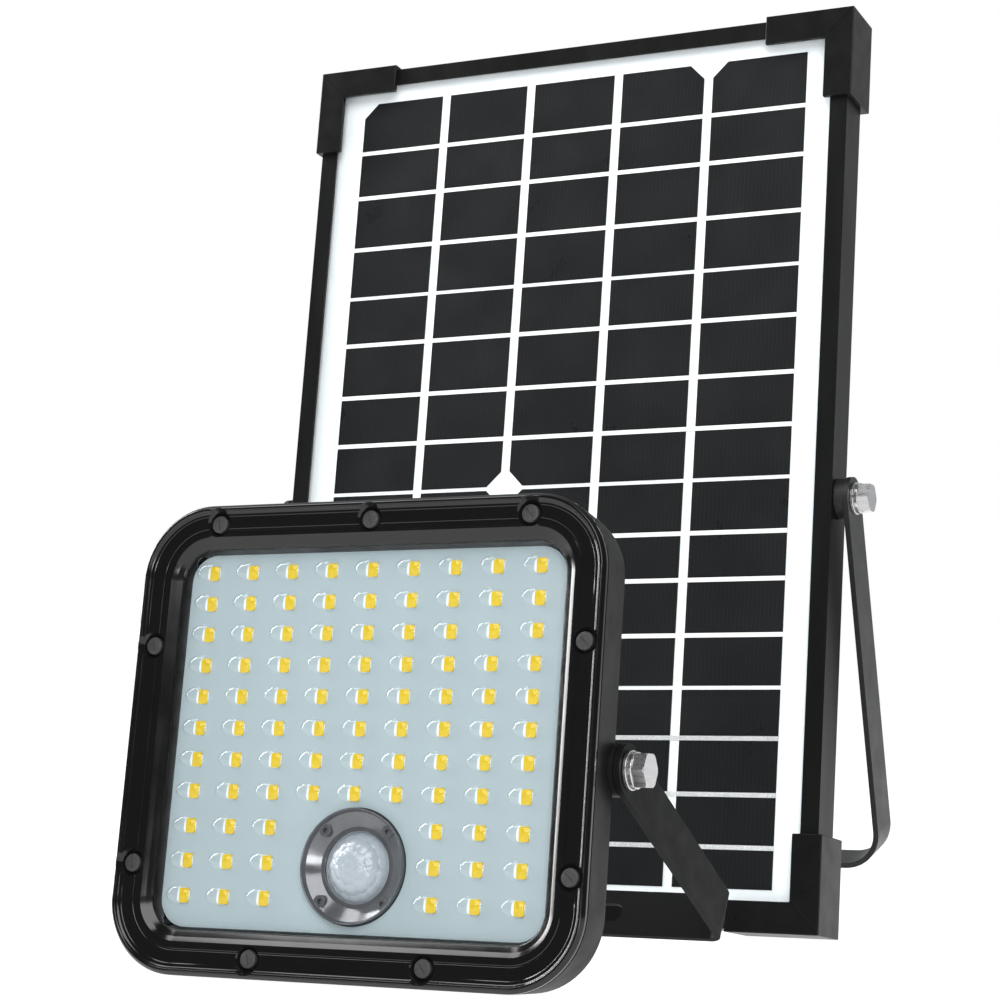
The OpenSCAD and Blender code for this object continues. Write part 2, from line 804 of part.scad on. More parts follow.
// Section of a rail: x inward from the outer face, y is the panel's z
rail_section = [
    [0, rail_z], [rail_lip, rail_z], [rail_lip, z_glass_top],
    [rail_wall, z_glass_top], [rail_wall, z_sheet_back],
    [rail_lip, z_sheet_back], [rail_lip, z_sheet_back - 0.7],
    [rail_wall, z_sheet_back - 0.7], [rail_wall, rail_back + 1.2],
    [12, rail_back + 1.2], [12, rail_back], [0, rail_back]
];

// A rail along y, inner side towards +x, with mitred ends
module rail(len) {
    difference() {
        rotate([90, 0, 0]) linear_extrude(len, center = true) polygon(rail_section);
        for (end = [0, 1]) mirror([0, end, 0]) translate([0, len / 2, rail_back - 1]) rotate([0, 0, -45])
            cube([30, 30, rail_depth + 4]);
    }
}

module side_rail() {
    difference() {
        translate([-rail_x, panel_h / 2, 0]) rail(panel_h - 2 * cap_end);
        translate([-rail_x - 1, panel_pivot_height, -panel_pivot_depth]) rotate([0, 90, 0])
            cylinder(r = bolt_r + play, h = 4);
    }
}

module frame_rail_left() {
    color(black_satin) in_panel() side_rail();
}

module frame_rail_right() {
    color(black_satin) in_panel() mirror([1, 0, 0]) side_rail();
}

module frame_rail_top() {
    color(black_satin) in_panel() translate([0, panel_h - cap_end, 0]) rotate([0, 0, -90])
        rail(2 * rail_x);
}

module frame_rail_bottom() {
    color(black_satin) in_panel() translate([0, cap_end, 0]) rotate([0, 0, 90]) rail(2 * rail_x);
}

// Corner cap at the lower left: an L-shaped shell around the two rails
module corner_cap() {
    module ell(reach, face) {
        square([reach, face]);
        square([face, reach]);
    }
    translate([-panel_w / 2, 0, -cap_depth]) difference() {
        linear_extrude(cap_depth) ell(cap_reach, cap_face);
        translate([cap_side, cap_end, cap_depth - face_drop - rail_depth])
            linear_extrude(rail_depth) square(cap_reach + 1);
    }
}

module cap_bottom_left() {
    color(black_gloss) in_panel() corner_cap();
}

module cap_bottom_right() {
    color(black_gloss) in_panel() mirror([1, 0, 0]) corner_cap();
}

module cap_top_left() {
    color(black_gloss) in_panel() translate([0, panel_h, 0]) mirror([0, 1, 0]) corner_cap();
}

module cap_top_right() {
    color(black_gloss) in_panel() translate([0, panel_h, 0]) mirror([0, 1, 0]) mirror([1, 0, 0]) corner_cap();
}

// ---- Panel laminate ----

module laminate_sheet(z_low, z_high) {
    w = 2 * (rail_x - laminate_inset);
    h = panel_h - 2 * (cap_end + laminate_inset);
    translate([-w / 2, cap_end + laminate_inset, z_low]) cube([w, h, z_high - z_low]);
}

module panel_glass() {
    color([0.7, 0.8, 0.85, 0.3]) in_panel() laminate_sheet(z_glass_back, z_glass_top);
}

module panel_backsheet() {
    color([0.95, 0.97, 0.98]) in_panel() laminate_sheet(z_sheet_back, z_cell_back);
}

function is_cut(col, row, side, end) = len([for (c = cut_corners) if (c == [col, row, side, end]) 1]) > 0;

function cell_left(col) = (col - cell_cols / 2) * cell_pitch_x - cell_shift + cell_gap / 2
    - (col == 0 ? left_cell_extra : 0);

// One cell: four corners, each plain or cut
module cell(col, row) {
    left = cell_left(col);
    right = cell_left(col + 1) - cell_gap + (col == cell_cols - 1 ? right_cell_extra : 0);
    top = row_edges[row] - row_gap / 2;
    bottom = row_edges[row + 1] + row_gap / 2;
    c = cell_chamfer;
    tl = is_cut(col, row, -1, 1) ? [[left, top - c], [left + c, top]] : [[left, top]];
    tr = is_cut(col, row, 1, 1) ? [[right - c, top], [right, top - c]] : [[right, top]];
    br = is_cut(col, row, 1, -1) ? [[right, bottom + c], [right - c, bottom]] : [[right, bottom]];
    bl = is_cut(col, row, -1, -1) ? [[left + c, bottom], [left, bottom + c]] : [[left, bottom]];
    translate([0, 0, z_cell_back]) linear_extrude(z_ribbon_back - z_cell_back)
        polygon(concat(tl, tr, br, bl));
}

module solar_cells() {
    color([0.1, 0.1, 0.11]) in_panel()
        for (col = [0:cell_cols - 1], row = [0:len(row_edges) - 2]) cell(col, row);
}

module cell_ribbons() {
    start = cell_left(0);
    len_x = cell_left(cell_cols) - cell_gap + right_cell_extra - start;
    color([0.95, 0.96, 0.97]) in_panel() for (y = ribbon_heights)
        translate([start, y - ribbon_w / 2, z_ribbon_back])
            linear_extrude(z_glass_back - z_ribbon_back) square([len_x, ribbon_w]);
}

// ---- Junction box on the panel's back ----

module in_box() {
    in_panel() translate([0, box_y, z_sheet_back]) rotate([0, 180, 0]) children();
}

module block(w, h, r, z_low, z_high) {
    translate([0, 0, z_low]) linear_extrude(z_high - z_low) rounded(w, h, r);
}

box_screw_places = [for (x = [-1, 1], y = [-1, 1]) [x * (box_w / 2 - 5), y * (box_h / 2 - 5)]];

module junction_box() {
    color(black_satin) in_box() difference() {
        block(box_w, box_h, 4, 0, box_t);
        difference() {
            block(box_w - 4, box_h - 4, 2, 2, box_t + 1);
            for (p = box_screw_places) translate([p[0], p[1], 0]) cylinder(r = 3.2, h = box_t);
        }
        for (p = box_screw_places) translate([p[0], p[1], 3]) cylinder(r = 1.25, h = box_t);
        translate([0, -box_h / 2 - 1, 7]) rotate([-90, 0, 0]) cylinder(r = 4 + slip, h = 4);
    }
}

module junction_lid() {
    color(black_satin) in_box() difference() {
        union() {
            block(box_w, box_h, 4, box_t, box_t + lid_t);
            block(box_w - 14, box_h - 14, 3, box_t + lid_t - 0.5, box_t + lid_t + 0.8);
        }
        for (p = box_screw_places) translate([p[0], p[1], box_t - 1]) cylinder(r = 1.5, h = 6);
    }
}

module junction_screws() {
    color(steel) in_box() for (p = box_screw_places) translate([p[0], p[1], box_t + lid_t]) {
        cylinder(r = 2.6, h = 1.6);
        translate([0, 0, -9]) cylinder(r = 1.2, h = 9.5);
    }
}

module junction_terminals() {
    color(brass) in_box() for (side = [-1, 1]) translate([side * 10 - 4, -6, 2]) {
        cube([8, 18, 4]);
        translate([4, 4, 3.5]) cylinder(r = 2.5, h = 3);
        translate([4, 14, 3.5]) cylinder(r = 2.5, h = 3);
    }
}

// Gland in the box's lower wall, open where the lead would leave
module junction_gland() {
    color(rubber) in_box() translate([0, -box_h / 2, 7]) rotate([90, 0, 0]) difference() {
        union() {
            translate([0, 0, -3]) cylinder(r = 4, h = 4);
            cylinder(r = 5.6, h = 4);
            translate([0, 0, 4]) cylinder(r1 = 5, r2 = 3.8, h = 8);
        }
        translate([0, 0, -4]) cylinder(r = lead_bore_r, h = 20);
    }
}

// ---- The assembly ----

lamp_bracket();
panel_bracket();
lamp_housing();
front_bezel();
bezel_screws();
lens_gasket();
lens_plate();
led_board();
led_chips();
heat_spreader();
spreader_screws();
pir_cup();
pir_dome();
pir_sensor();
pir_board();
battery_cells();
battery_tray();
control_board();
control_board_screws();
button_body();
button_nut();
button_switch();
power_button();
lead_gland();
lead_gland_nut();
lead_gland_seal();
lead_gland_locknut();
lamp_pivot_inserts();
lamp_pivot_bolts();
lamp_spring_washers();
lamp_flat_washers();
frame_rail_left();
frame_rail_right();
frame_rail_top();
frame_rail_bottom();
cap_top_left();
cap_top_right();
cap_bottom_left();
cap_bottom_right();
panel_glass();
solar_cells();
cell_ribbons();
panel_backsheet();
junction_box();
junction_lid();
junction_screws();
junction_terminals();
junction_gland();
panel_pivot_spacers();
panel_rivet_nuts();
panel_pivot_bolts();
panel_spring_washers();
panel_flat_washers();
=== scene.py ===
import json
import math

import bmesh
import bpy
from mathutils import Matrix, Vector

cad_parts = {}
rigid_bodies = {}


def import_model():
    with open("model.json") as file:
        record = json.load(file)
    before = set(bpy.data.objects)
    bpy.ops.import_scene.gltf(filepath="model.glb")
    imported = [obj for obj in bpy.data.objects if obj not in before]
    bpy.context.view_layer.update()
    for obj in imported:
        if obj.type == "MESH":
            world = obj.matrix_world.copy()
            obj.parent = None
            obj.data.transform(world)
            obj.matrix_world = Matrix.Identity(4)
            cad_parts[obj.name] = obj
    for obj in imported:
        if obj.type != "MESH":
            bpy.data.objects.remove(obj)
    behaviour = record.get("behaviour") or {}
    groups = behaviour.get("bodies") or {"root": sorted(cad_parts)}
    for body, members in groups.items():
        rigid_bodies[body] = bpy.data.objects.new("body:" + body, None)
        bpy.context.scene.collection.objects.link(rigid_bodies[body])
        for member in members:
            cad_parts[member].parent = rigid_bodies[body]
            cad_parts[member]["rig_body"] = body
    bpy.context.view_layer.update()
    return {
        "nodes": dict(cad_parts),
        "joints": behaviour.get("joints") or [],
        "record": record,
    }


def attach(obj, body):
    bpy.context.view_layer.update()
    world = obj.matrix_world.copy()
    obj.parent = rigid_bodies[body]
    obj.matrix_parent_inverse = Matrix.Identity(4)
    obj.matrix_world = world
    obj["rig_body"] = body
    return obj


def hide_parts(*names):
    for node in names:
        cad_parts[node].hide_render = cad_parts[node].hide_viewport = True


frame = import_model()
scene = bpy.context.scene

# ---------------------------------------------------------------------------------------
# Places. Each unit is drawn in millimetres in its own frame: x right, y up, z out of its
# front. The lamp's frame starts at the middle of its front, the panel's at the middle of
# its lower edge. The joints say where the pivots are in the row frame, in metres.

MM = 0.001
LAMP_TILT = math.radians(9)
LAMP_PIVOT = Vector((0, -6.7, -19.9))
PANEL_TILT = math.radians(8.7)
PANEL_PIVOT = Vector((0, 159.5, -10.7))
joints = {joint["name"]: joint for joint in frame["joints"]}


def unit_frame(joint, tilt, pivot):
    """Matrix from a unit's drawing frame, in millimetres, to the row frame, in metres."""
    place = Matrix.Translation(joints[joint]["pos_m"])
    lean = Matrix.Rotation(math.radians(90) - tilt, 4, "X")
    return place @ lean @ Matrix.Scale(MM, 4) @ Matrix.Translation(-pivot)


LAMP = unit_frame("lamp_tilt", LAMP_TILT, LAMP_PIVOT)
PANEL = unit_frame("panel_tilt", PANEL_TILT, PANEL_PIVOT)


# ---------------------------------------------------------------------------------------
# Materials

NOISE_LOW, NOISE_HIGH = 0.3, 0.7    # nearly all of a noise's values lie between these
SMEAR_RATIO = 2.7                   # how much finer the smudges are than the mottling
GRAIN_DEPTH = 0.0004                # metres
COAT_ROUGH = 0.06
CLEAR_ROUGH, CLEAR_SMEAR = (0.02, 0.06), 30      # its range, and its repeats a metre
MOTTLE_DETAIL, SMEAR_DETAIL, GRAIN_DETAIL = 3, 4, 2
FINGER_PITCH, FINGER_WIDTH = 0.0016, 0.0001     # printed lines on the cells, metres
FINGER_GREY = (0.026, 0.026, 0.028, 1)


def new_material(name):
    material = bpy.data.materials.new(name)
    material.use_nodes = True
    return material, material.node_tree.nodes, material.node_tree.links


def noise(nodes, links, scale, detail, stretch=(1, 1, 1)):
    """Noise over the row frame: scale is its repeats a metre, stretch multiplies it by axis."""
    place = nodes.new("ShaderNodeTexCoord")
    mapping = nodes.new("ShaderNodeMapping")
    mapping.inputs["Scale"].default_value = stretch
    texture = nodes.new("ShaderNodeTexNoise")
    texture.inputs["Scale"].default_value = scale
    texture.inputs["Detail"].default_value = detail
    links.new(place.outputs["Object"], mapping.inputs["Vector"])
    links.new(mapping.outputs["Vector"], texture.inputs["Vector"])
    return texture.outputs["Fac"]


def spread(nodes, links, value, low, high):
    """Turns a noise value into the range from low to high."""
    ranged = nodes.new("ShaderNodeMapRange")
    ranged.inputs["From Min"].default_value = NOISE_LOW
    ranged.inputs["From Max"].default_value = NOISE_HIGH
    ranged.inputs["To Min"].default_value = low
    ranged.inputs["To Max"].default_value = high
    links.new(value, ranged.inputs["Value"])
    return ranged.outputs["Result"]


def shade(colour, factor):
    return tuple(min(1.0, c * factor) for c in colour) + (1.0,)


def finish(name, colour, rough, metallic=0.0, gloss=0.5, coat=0.0, mottle=0.06, mottle_scale=45,
           smudge=0.05, grain=0.02, grain_scale=2500, stretch=(1, 1, 1)):
    """A surface with slow mottling in its colour, faint smudges in its gloss and a fine grain."""
    material, nodes, links = new_material(name)
    surface = nodes["Principled BSDF"]
    blend = nodes.new("ShaderNodeMix")
    blend.data_type = "RGBA"
    blend.inputs["A"].default_value = shade(colour, 1 - mottle)
    blend.inputs["B"].default_value = shade(colour, 1 + mottle)
    slow = noise(nodes, links, mottle_scale, MOTTLE_DETAIL, stretch)
    links.new(spread(nodes, links, slow, 0, 1), blend.inputs["Factor"])
    links.new(blend.outputs["Result"], surface.inputs["Base Color"])
    smear = noise(nodes, links, mottle_scale * SMEAR_RATIO, SMEAR_DETAIL, stretch)
    smeared = spread(nodes, links, smear, rough - smudge, rough + smudge)
    links.new(smeared, surface.inputs["Roughness"])
    bump = nodes.new("ShaderNodeBump")
    bump.inputs["Strength"].default_value = grain
    bump.inputs["Distance"].default_value = GRAIN_DEPTH
    fine = noise(nodes, links, grain_scale, GRAIN_DETAIL, stretch)
    links.new(fine, bump.inputs["Height"])
    links.new(bump.outputs["Normal"], surface.inputs["Normal"])
    surface.inputs["Metallic"].default_value = metallic
    surface.inputs["Specular IOR Level"].default_value = gloss
    surface.inputs["Coat Weight"].default_value = coat
    surface.inputs["Coat Roughness"].default_value = COAT_ROUGH
    return material


def see_through(name, tint, index):
    """Clear plastic or glass: what lies behind shows straight through, under the reflection
    of the outer face, and light passes without a shadow."""
    material, nodes, links = new_material(name)
    nodes.remove(nodes["Principled BSDF"])
    through = nodes.new("ShaderNodeBsdfTransparent")
    through.inputs["Color"].default_value = tint
    gloss = nodes.new("ShaderNodeBsdfGlossy")
    smear = noise(nodes, links, CLEAR_SMEAR, SMEAR_DETAIL)
    links.new(spread(nodes, links, smear, *CLEAR_ROUGH), gloss.inputs["Roughness"])
    fresnel = nodes.new("ShaderNodeFresnel")
    fresnel.inputs["IOR"].default_value = index
    side = nodes.new("ShaderNodeNewGeometry")
    outer = nodes.new("ShaderNodeMath")
    outer.operation = "SUBTRACT"
    outer.inputs[0].default_value = 1.0
    links.new(side.outputs["Backfacing"], outer.inputs[1])
    share = nodes.new("ShaderNodeMath")
    share.operation = "MULTIPLY"
    links.new(fresnel.outputs["Fac"], share.inputs[0])
    links.new(outer.outputs["Value"], share.inputs[1])
    mix = nodes.new("ShaderNodeMixShader")
    links.new(share.outputs["Value"], mix.inputs["Fac"])
    links.new(through.outputs["BSDF"], mix.inputs[1])
    links.new(gloss.outputs["BSDF"], mix.inputs[2])
    path = nodes.new("ShaderNodeLightPath")
    shadowless = nodes.new("ShaderNodeMixShader")
    links.new(path.outputs["Is Shadow Ray"], shadowless.inputs["Fac"])
    links.new(mix.outputs["Shader"], shadowless.inputs[1])
    links.new(through.outputs["BSDF"], shadowless.inputs[2])
    links.new(shadowless.outputs["Shader"], nodes["Material Output"].inputs["Surface"])
    return material


def cell_silicon(name):
    """Dark cell with fine printed fingers across it and a faint crystal sheen."""
    material = finish(name, (0.012, 0.012, 0.0125), 0.32, gloss=0.22, mottle=0.1,
                      mottle_scale=18, grain=0.01, grain_scale=1200)
    nodes, links = material.node_tree.nodes, material.node_tree.links
    surface = nodes["Principled BSDF"]
    place = nodes.new("ShaderNodeTexCoord")
    split = nodes.new("ShaderNodeSeparateXYZ")
    wave = nodes.new("ShaderNodeMath")
    wave.operation = "PINGPONG"
    wave.inputs[1].default_value = FINGER_PITCH / 2
    finger = nodes.new("ShaderNodeMath")
    finger.operation = "LESS_THAN"
    finger.inputs[1].default_value = FINGER_WIDTH / 2
    blend = nodes.new("ShaderNodeMix")
    blend.data_type = "RGBA"
    blend.inputs["B"].default_value = FINGER_GREY
    base = surface.inputs["Base Color"].links[0].from_socket
    links.new(place.outputs["Object"], split.inputs["Vector"])
    links.new(split.outputs["X"], wave.inputs[0])
    links.new(wave.outputs["Value"], finger.inputs[0])
    links.new(finger.outputs["Value"], blend.inputs["Factor"])
    links.new(base, blend.inputs["A"])
    links.new(blend.outputs["Result"], surface.inputs["Base Color"])
    return material


FINISHES = {
    "powder_steel": dict(colour=(0.0085, 0.009, 0.009), rough=0.42, grain=0.12,
                         grain_scale=1800),
    # A darker, duller copy of the bracket powder coat; its darker colour is painted shade, for
    # the lamp's bracket.
    "powder_steel_shaded": dict(colour=(0.0075, 0.008, 0.008), rough=0.5, gloss=0.06, grain=0.12,
                        grain_scale=1800),
    "case_black": dict(colour=(0.009, 0.009, 0.009), rough=0.45, gloss=0.14, grain=0.1,
                       grain_scale=2200),
    "bezel_black": dict(colour=(0.0058, 0.0058, 0.006), rough=0.13, gloss=0.45, smudge=0.03,
                        grain=0.01),
    "bright_steel": dict(colour=(0.64, 0.64, 0.65), rough=0.27, metallic=1, grain=0.03,
                         stretch=(1, 1, 6)),
    "dark_screw": dict(colour=(0.035, 0.035, 0.036), rough=0.55, mottle=0.25,
                       mottle_scale=900, grain=0.15, grain_scale=3000),
    "black_rubber": dict(colour=(0.015, 0.015, 0.015), rough=0.7, gloss=0.3, grain=0.15),
    "board_white": dict(colour=(0.4, 0.465, 0.484), rough=0.5, mottle=0.015),
    "package_white": dict(colour=(0.82, 0.83, 0.82), rough=0.4, mottle=0.01),
    "chip_yellow": dict(colour=(0.69, 0.475, 0.012), rough=0.45, mottle=0.08,
                        mottle_scale=700, grain=0.1, grain_scale=5000),
    "alloy_plate": dict(colour=(0.6, 0.61, 0.62), rough=0.4, metallic=1, grain=0.05,
                        stretch=(1, 8, 1)),
    "cup_grey": dict(colour=(0.13, 0.135, 0.146), rough=0.16, metallic=0.4, gloss=0.45,
                     mottle=0.15, mottle_scale=90, smudge=0.06, coat=0.1),
    "dome_white": dict(colour=(0.36, 0.41, 0.45), rough=0.16, coat=0.2, mottle=0.03,
                       mottle_scale=220),
    "sensor_can": dict(colour=(0.6, 0.57, 0.45), rough=0.35, metallic=1),
    "board_green": dict(colour=(0.01, 0.09, 0.03), rough=0.4, mottle=0.15, mottle_scale=300),
    "battery_wrap": dict(colour=(0.02, 0.11, 0.33), rough=0.28, coat=0.4),
    "tray_black": dict(colour=(0.02, 0.02, 0.02), rough=0.55, grain=0.1),
    "button_red": dict(colour=(0.45, 0.012, 0.008), rough=0.25, coat=0.3),
    "gland_black": dict(colour=(0.016, 0.016, 0.017), rough=0.48, gloss=0.4, grain=0.08),
    "insert_brass": dict(colour=(0.62, 0.42, 0.14), rough=0.32, metallic=1),
    "frame_black": dict(colour=(0.0062, 0.0064, 0.0066), rough=0.33, gloss=0.14,
                        mottle=0.08, grain=0.06, grain_scale=3500, stretch=(1, 1, 0.15)),
    "cap_black": dict(colour=(0.0065, 0.0066, 0.0068), rough=0.32, gloss=0.14, grain=0.07,
                      grain_scale=2600),
    "ribbon_tin": dict(colour=(0.99, 0.99, 0.99), rough=0.45, gloss=0.7, mottle=0.01,
                       mottle_scale=150, grain=0.005),
    "sheet_white": dict(colour=(0.96, 0.98, 0.99), rough=0.45, mottle=0.01),
    "spacer_black": dict(colour=(0.012, 0.012, 0.012), rough=0.5, grain=0.08),
}

looks = {name: finish(name, **settings) for name, settings in FINISHES.items()}
looks["clear_lens"] = see_through("clear_lens", (0.97, 0.985, 0.99, 1), 1.46)
looks["cover_glass"] = see_through("cover_glass", (0.985, 0.997, 1, 1), 1.4)
looks["cell_dark"] = cell_silicon("cell_dark")


def paint(obj, look):
    obj.data.materials.clear()
    obj.data.materials.append(looks[look])


# Every CAD node takes the look of its material slot in the record.
slot_of = {part["node"]: part["material_slot"] for part in frame["record"]["subparts"]}
for node_name, node_object in frame["nodes"].items():
    paint(node_object, slot_of[node_name])


# ---------------------------------------------------------------------------------------
# Mesh tools

SOFT_ANGLE, SOFT_SEGMENTS = 25, 2   # edges sharper than this many degrees are rounded
WELD_DISTANCE = 2e-6                # metres
FLAT_ANGLE = 0.4                    # faces that turn by less, in degrees, become one


def add_piece(name, mesh, look, body, replaced=()):
    """Puts a mesh in the scene as a piece that rides with a body."""
    piece = bpy.data.objects.new(name, mesh)
    scene.collection.objects.link(piece)
    paint(piece, look)
    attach(piece, body)
    if replaced:
        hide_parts(*replaced)


def smooth(mesh, sharp):
    """Smooth shading, except across edges sharper than this many degrees."""
    mesh.polygons.foreach_set("use_smooth", [True] * len(mesh.polygons))
    mesh.set_sharp_from_angle(angle=math.radians(sharp))


def mesh_from(bm, name, unit=None, sharp=35):
    """Makes a mesh of a bmesh, and moves it from a unit's frame to the row frame."""
    bmesh.ops.recalc_face_normals(bm, faces=bm.faces)
    mesh = bpy.data.meshes.new(name)
    bm.to_mesh(mesh)
    bm.free()
    if unit is not None:
        mesh.transform(unit)
    smooth(mesh, sharp)
    return mesh


def applied(mesh, *modifiers):
    """The mesh after modifiers, each a (type, settings) pair."""
    carrier = bpy.data.objects.new("carrier", mesh)
    scene.collection.objects.link(carrier)
    for kind, settings in modifiers:
        modifier = carrier.modifiers.new(kind, kind)
        for key, value in settings.items():
            setattr(modifier, key, value)
    bpy.context.view_layer.update()
    depsgraph = bpy.context.evaluated_depsgraph_get()
    result = bpy.data.meshes.new_from_object(
        carrier.evaluated_get(depsgraph), preserve_all_data_layers=True, depsgraph=depsgraph)
    bpy.data.objects.remove(carrier)
    return result


def combined(mesh, tool, operation="DIFFERENCE"):
    """The mesh with a tool mesh taken out of it or, with UNION, joined to it."""
    partner = bpy.data.objects.new("partner", tool)
    scene.collection.objects.link(partner)
    settings = {"operation": operation, "object": partner, "solver": "EXACT"}
    result = applied(mesh, ("BOOLEAN", settings))
    bpy.data.objects.remove(partner)
    return result


def turns(steps):
    """The angles of a full turn, in equal steps."""
    return [2 * math.pi * i / steps for i in range(steps)]


def circle(radius, steps, x, y, z):
    return [(x + radius * math.cos(t), y + radius * math.sin(t), z) for t in turns(steps)]


def rounded_corners(reach_x, reach_y, radius, steps, x, y, z):
    """A rectangle's outline with round corners, whose centres lie at the two reaches."""
    points = []
    for side_x, side_y, start in ((1, 1, 0), (-1, 1, 90), (-1, -1, 180), (1, -1, 270)):
        for i in range(steps + 1):
            t = math.radians(start + 90 * i / steps)
            points.append((x + side_x * reach_x + radius * math.cos(t),
                           y + side_y * reach_y + radius * math.sin(t), z))
    return points


def loft(bm, loops, ring=False):
    """Quads between successive closed loops; a ring goes on from the last to the first."""
    rows = [[bm.verts.new(point) for point in loop] for loop in loops]
    following = rows[1:] + rows[:1] if ring else rows[1:]
    for low, high in zip(rows, following):
        for i in range(len(low)):
            j = (i + 1) % len(low)
            bm.faces.new((low[i], low[j], high[j], high[i]))
    return rows


def solid_loft(bm, loops):
    """A loft with both of its ends closed."""
    rows = loft(bm, loops)
    bm.faces.new(rows[0][::-1])
    bm.faces.new(rows[-1])


def lathe(bm, profile, steps, x, y):
    """A (radius, z) profile turned about a line along z, its ends closed."""
    solid_loft(bm, [circle(r, steps, x, y, z) for r, z in profile])


def bar(bm, size, turn, place):
    """A block, turned about z and moved to its place."""
    made = bmesh.ops.create_cube(bm, size=1)["verts"]
    bmesh.ops.scale(bm, verts=made, vec=size)
    bmesh.ops.rotate(bm, verts=made, matrix=Matrix.Rotation(turn, 3, "Z"))
    bmesh.ops.translate(bm, verts=made, vec=place)


def softened(node, width, look=None):
    """A copy of a CAD node with its sharp edges rounded, shown in the node's place."""
    bm = bmesh.new()
    bm.from_mesh(frame["nodes"][node].data)
    bmesh.ops.remove_doubles(bm, verts=bm.verts, dist=WELD_DISTANCE)
    bmesh.ops.dissolve_limit(bm, angle_limit=math.radians(FLAT_ANGLE), verts=bm.verts,
                             edges=bm.edges)
    mesh = bpy.data.meshes.new(node + "_soft")
    bm.to_mesh(mesh)
    bm.free()
    smooth(mesh, SOFT_ANGLE)
    rounding = {"width": width * MM, "segments": SOFT_SEGMENTS, "limit_method": "ANGLE",
                "angle_limit": math.radians(SOFT_ANGLE), "use_clamp_overlap": True,
                "miter_outer": "MITER_ARC"}
    mesh = applied(mesh, ("BEVEL", rounding), ("WEIGHTED_NORMAL", {"keep_sharp": True}))
    body = frame["nodes"][node]["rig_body"]
    add_piece(node + "_detail", mesh, look or slot_of[node], body, [node])


# ---------------------------------------------------------------------------------------
# CAD nodes whose edges show: the width of their rounding, in millimetres

ROUNDED = {
    "panel_bracket": 0.35, "lamp_housing": 0.4,
    "frame_rail_left": 0.25, "frame_rail_right": 0.25,
    "frame_rail_top": 0.25, "frame_rail_bottom": 0.25,
    "cap_top_left": 0.35, "cap_top_right": 0.35,
    "cap_bottom_left": 0.35, "cap_bottom_right": 0.35,
    "lamp_pivot_bolts": 0.2, "panel_pivot_bolts": 0.2,
    "lamp_spring_washers": 0.25, "panel_spring_washers": 0.25,
    "lamp_flat_washers": 0.2, "panel_flat_washers": 0.2, "panel_pivot_spacers": 0.3,
    "pir_cup": 0.15, "button_body": 0.3, "power_button": 0.3,
    "lead_gland": 0.3, "lead_gland_nut": 0.3, "junction_box": 0.5, "junction_lid": 0.5,
    "junction_screws": 0.3, "junction_gland": 0.3, "led_board": 0.1,
}
for node_name, rounding_width in ROUNDED.items():
    softened(node_name, rounding_width)
# The lamp's bracket takes the darker copy of the powder coat, whose darker colour is painted
# shade.
softened("lamp_bracket", 0.35, "powder_steel_shaded")

# The fine diagonal line across each cap's front, where its two channels meet
CAP_EDGE, PANEL_TALL = 117.0, 350.0
MITRE_WIDTH, MITRE_REACH, MITRE_DEPTH = 0.2, 16.2, 0.15


def mitre_groove(node, side, y, turn):
    """Cuts the line into a cap, on one side of the panel (-1 or 1) and at a height."""
    bm = bmesh.new()
    bar(bm, (MITRE_WIDTH, 2 * MITRE_REACH, 2 * MITRE_DEPTH), math.radians(turn),
        (side * CAP_EDGE, y, 0))
    cap = bpy.data.objects[node + "_detail"]
    mesh = combined(cap.data, mesh_from(bm, node + "_groove", PANEL))
    smooth(mesh, SOFT_ANGLE)
    cap.data = applied(mesh, ("WEIGHTED_NORMAL", {"keep_sharp": True}))
    paint(cap, slot_of[node])


mitre_groove("cap_top_right", 1, PANEL_TALL, -45)
mitre_groove("cap_top_left", -1, PANEL_TALL, 45)
mitre_groove("cap_bottom_right", 1, 0, 45)
mitre_groove("cap_bottom_left", -1, 0, -45)


# ---------------------------------------------------------------------------------------
# Front frame of the lamp: a moulded ring with fine steps, and a sloped pocket at each
# screw. Sections are (distance outside the corner centres, z) or (radius, z), in
# millimetres.

CORNER_X, CORNER_Y = 57.5, 50.0     # centres of the lamp outline's four corners
CORNER_STEPS = 18
SCREW_RHO = 18.0
SCREWS_TOP_X, SCREWS_BOTTOM_X = (-55, 0, 55), (-30, 30)
SCREWS_SIDE_Y = (28.9, -40.1)
POCKET_Z = -3.0

screw_places = [(x, CORNER_Y + SCREW_RHO) for x in SCREWS_TOP_X]
screw_places += [(x, -CORNER_Y - SCREW_RHO) for x in SCREWS_BOTTOM_X]
screw_places += [(side * (CORNER_X + SCREW_RHO), y) for side in (-1, 1) for y in SCREWS_SIDE_Y]

BEZEL_SECTION = [
    (22.6, -4.2), (22.6, -3.0), (23.5, -3.0), (23.5, -2.5), (23.9, -2.5), (24.0, -2.3),
    (24.0, -1.2), (23.2, -0.15), (22.9, 0.0), (22.4, 0.0), (22.15, -0.1), (21.9, -0.45),
    (21.5, -0.85), (21.0, -1.0), (20.5, -1.0), (20.3, -1.15), (20.0, -1.15), (16.6, -1.45),
    (16.35, -1.65), (16.0, -1.65), (15.75, -1.45), (14.9, -1.45), (13.9, -1.6), (13.6, -1.7),
    (12.3, -2.45), (12.0, -2.6), (10.5, -3.3), (10.2, -3.5), (10.0, -4.0), (9.9, -4.2)]
BEZEL_ROUNDING, BEZEL_ANGLE = 0.12, 38
POCKET_SECTION = [(1.5, -6), (1.5, POCKET_Z), (3.0, POCKET_Z), (3.3, POCKET_Z + 0.15),
                  (5.3, 0.2), (5.6, 1)]
POCKET_TURNS = 40
# The screw's z is counted from the pocket's floor.
SCREW_SECTION = [(1.4, -8), (1.4, -0.05), (2.8, 0.0), (2.8, 1.0), (2.7, 1.2), (2.4, 1.32),
                 (1.2, 1.39), (0.3, 1.4)]
SCREW_TURNS, SCREW_SHARP = 32, 30
SLOT_SIZE, SLOT_Z = (0.4, 3.4, 0.5), 1.45
SLOT_TURN, SLOT_TURN_LENGTH = math.radians(25), 90      # the turn changes along x


